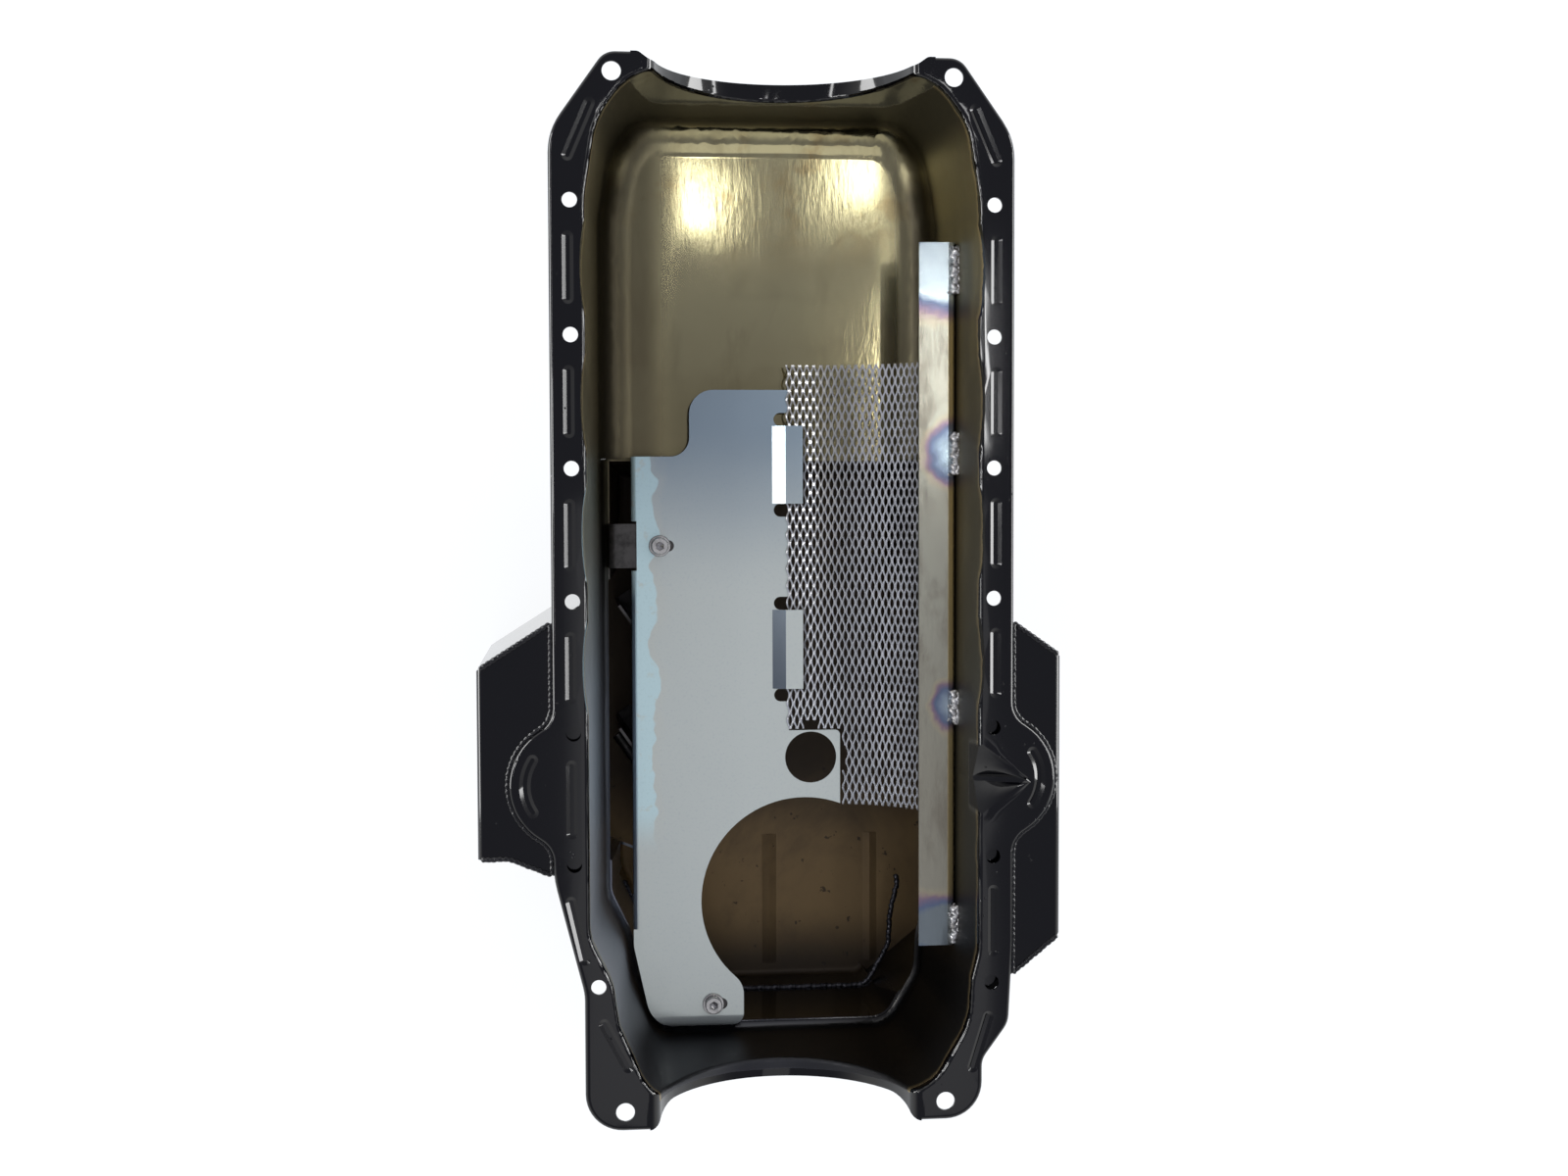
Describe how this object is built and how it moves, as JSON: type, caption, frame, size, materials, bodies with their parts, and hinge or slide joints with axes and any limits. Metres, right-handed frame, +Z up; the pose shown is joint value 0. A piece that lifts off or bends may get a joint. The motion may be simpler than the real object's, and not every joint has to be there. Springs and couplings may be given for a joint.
{
  "type": "engine oil pan",
  "caption": "Fabricated wet-sump engine oil pan: stamped bolt rail and shallow trough, T-shaped sump, louvred windage tray, mesh screen, scraper bar and trap-door baffles.",
  "frame": {"origin": "on the underside of the sump floor, below the crankshaft's centre plane and midway between the front and rear rail bolts", "axes": "+X towards the pan's right kick-out, +Y towards the front of the engine, +Z up towards the bolt rail"},
  "size_m": [0.3145, 0.5702, 0.1905],
  "materials": {
    "paint": "gloss",
    "paint_weld": "satin",
    "plated": "satin",
    "expanded": "satin",
    "bare_steel": "satin",
    "weld": "satin",
    "fastener": "satin",
    "copper": "satin"
  },
  "bodies": {
    "pan": {"pan_shell": "paint", "kickout_left_skin": "paint", "kickout_left_front_plate": "paint", "kickout_left_rear_plate": "paint", "kickout_right_skin": "paint", "kickout_right_front_plate": "paint", "kickout_right_rear_plate": "paint", "kickout_left_weld": "paint_weld", "kickout_right_weld": "paint_weld", "sump_floor": "paint", "sump_front_wall": "paint", "sump_rear_wall": "paint", "sump_seam_weld": "weld", "windage_tray": "plated", "tray_screen": "expanded", "scraper_bar": "bare_steel", "scraper_welds": "weld", "tray_screws": "fastener", "tray_washers": "fastener", "tray_nuts": "fastener", "tray_bracket_front": "plated", "tray_bracket_rear": "plated", "baffle_front": "bare_steel", "baffle_rear": "bare_steel", "hinge_pin_front": "fastener", "hinge_pin_rear": "fastener", "drain_bung": "bare_steel", "drain_washer": "copper", "drain_plug": "fastener"},
    "trap_door_front": {"trap_door_front": "bare_steel"},
    "trap_door_rear": {"trap_door_rear": "bare_steel"}
  },
  "joints": [
    {"name": "trap_door_front_hinge", "type": "hinge", "parent": "pan", "child": "trap_door_front", "pos_m": [-0.0533, -0.06524, 0.0466], "axis": [0.5736, -0.8192, 0], "range_deg": [-45, 0]},
    {"name": "trap_door_rear_hinge", "type": "hinge", "parent": "pan", "child": "trap_door_rear", "pos_m": [-0.06764, -0.11676, 0.0466], "axis": [0.5736, -0.8192, 0], "range_deg": [-45, 0]}
  ]
}
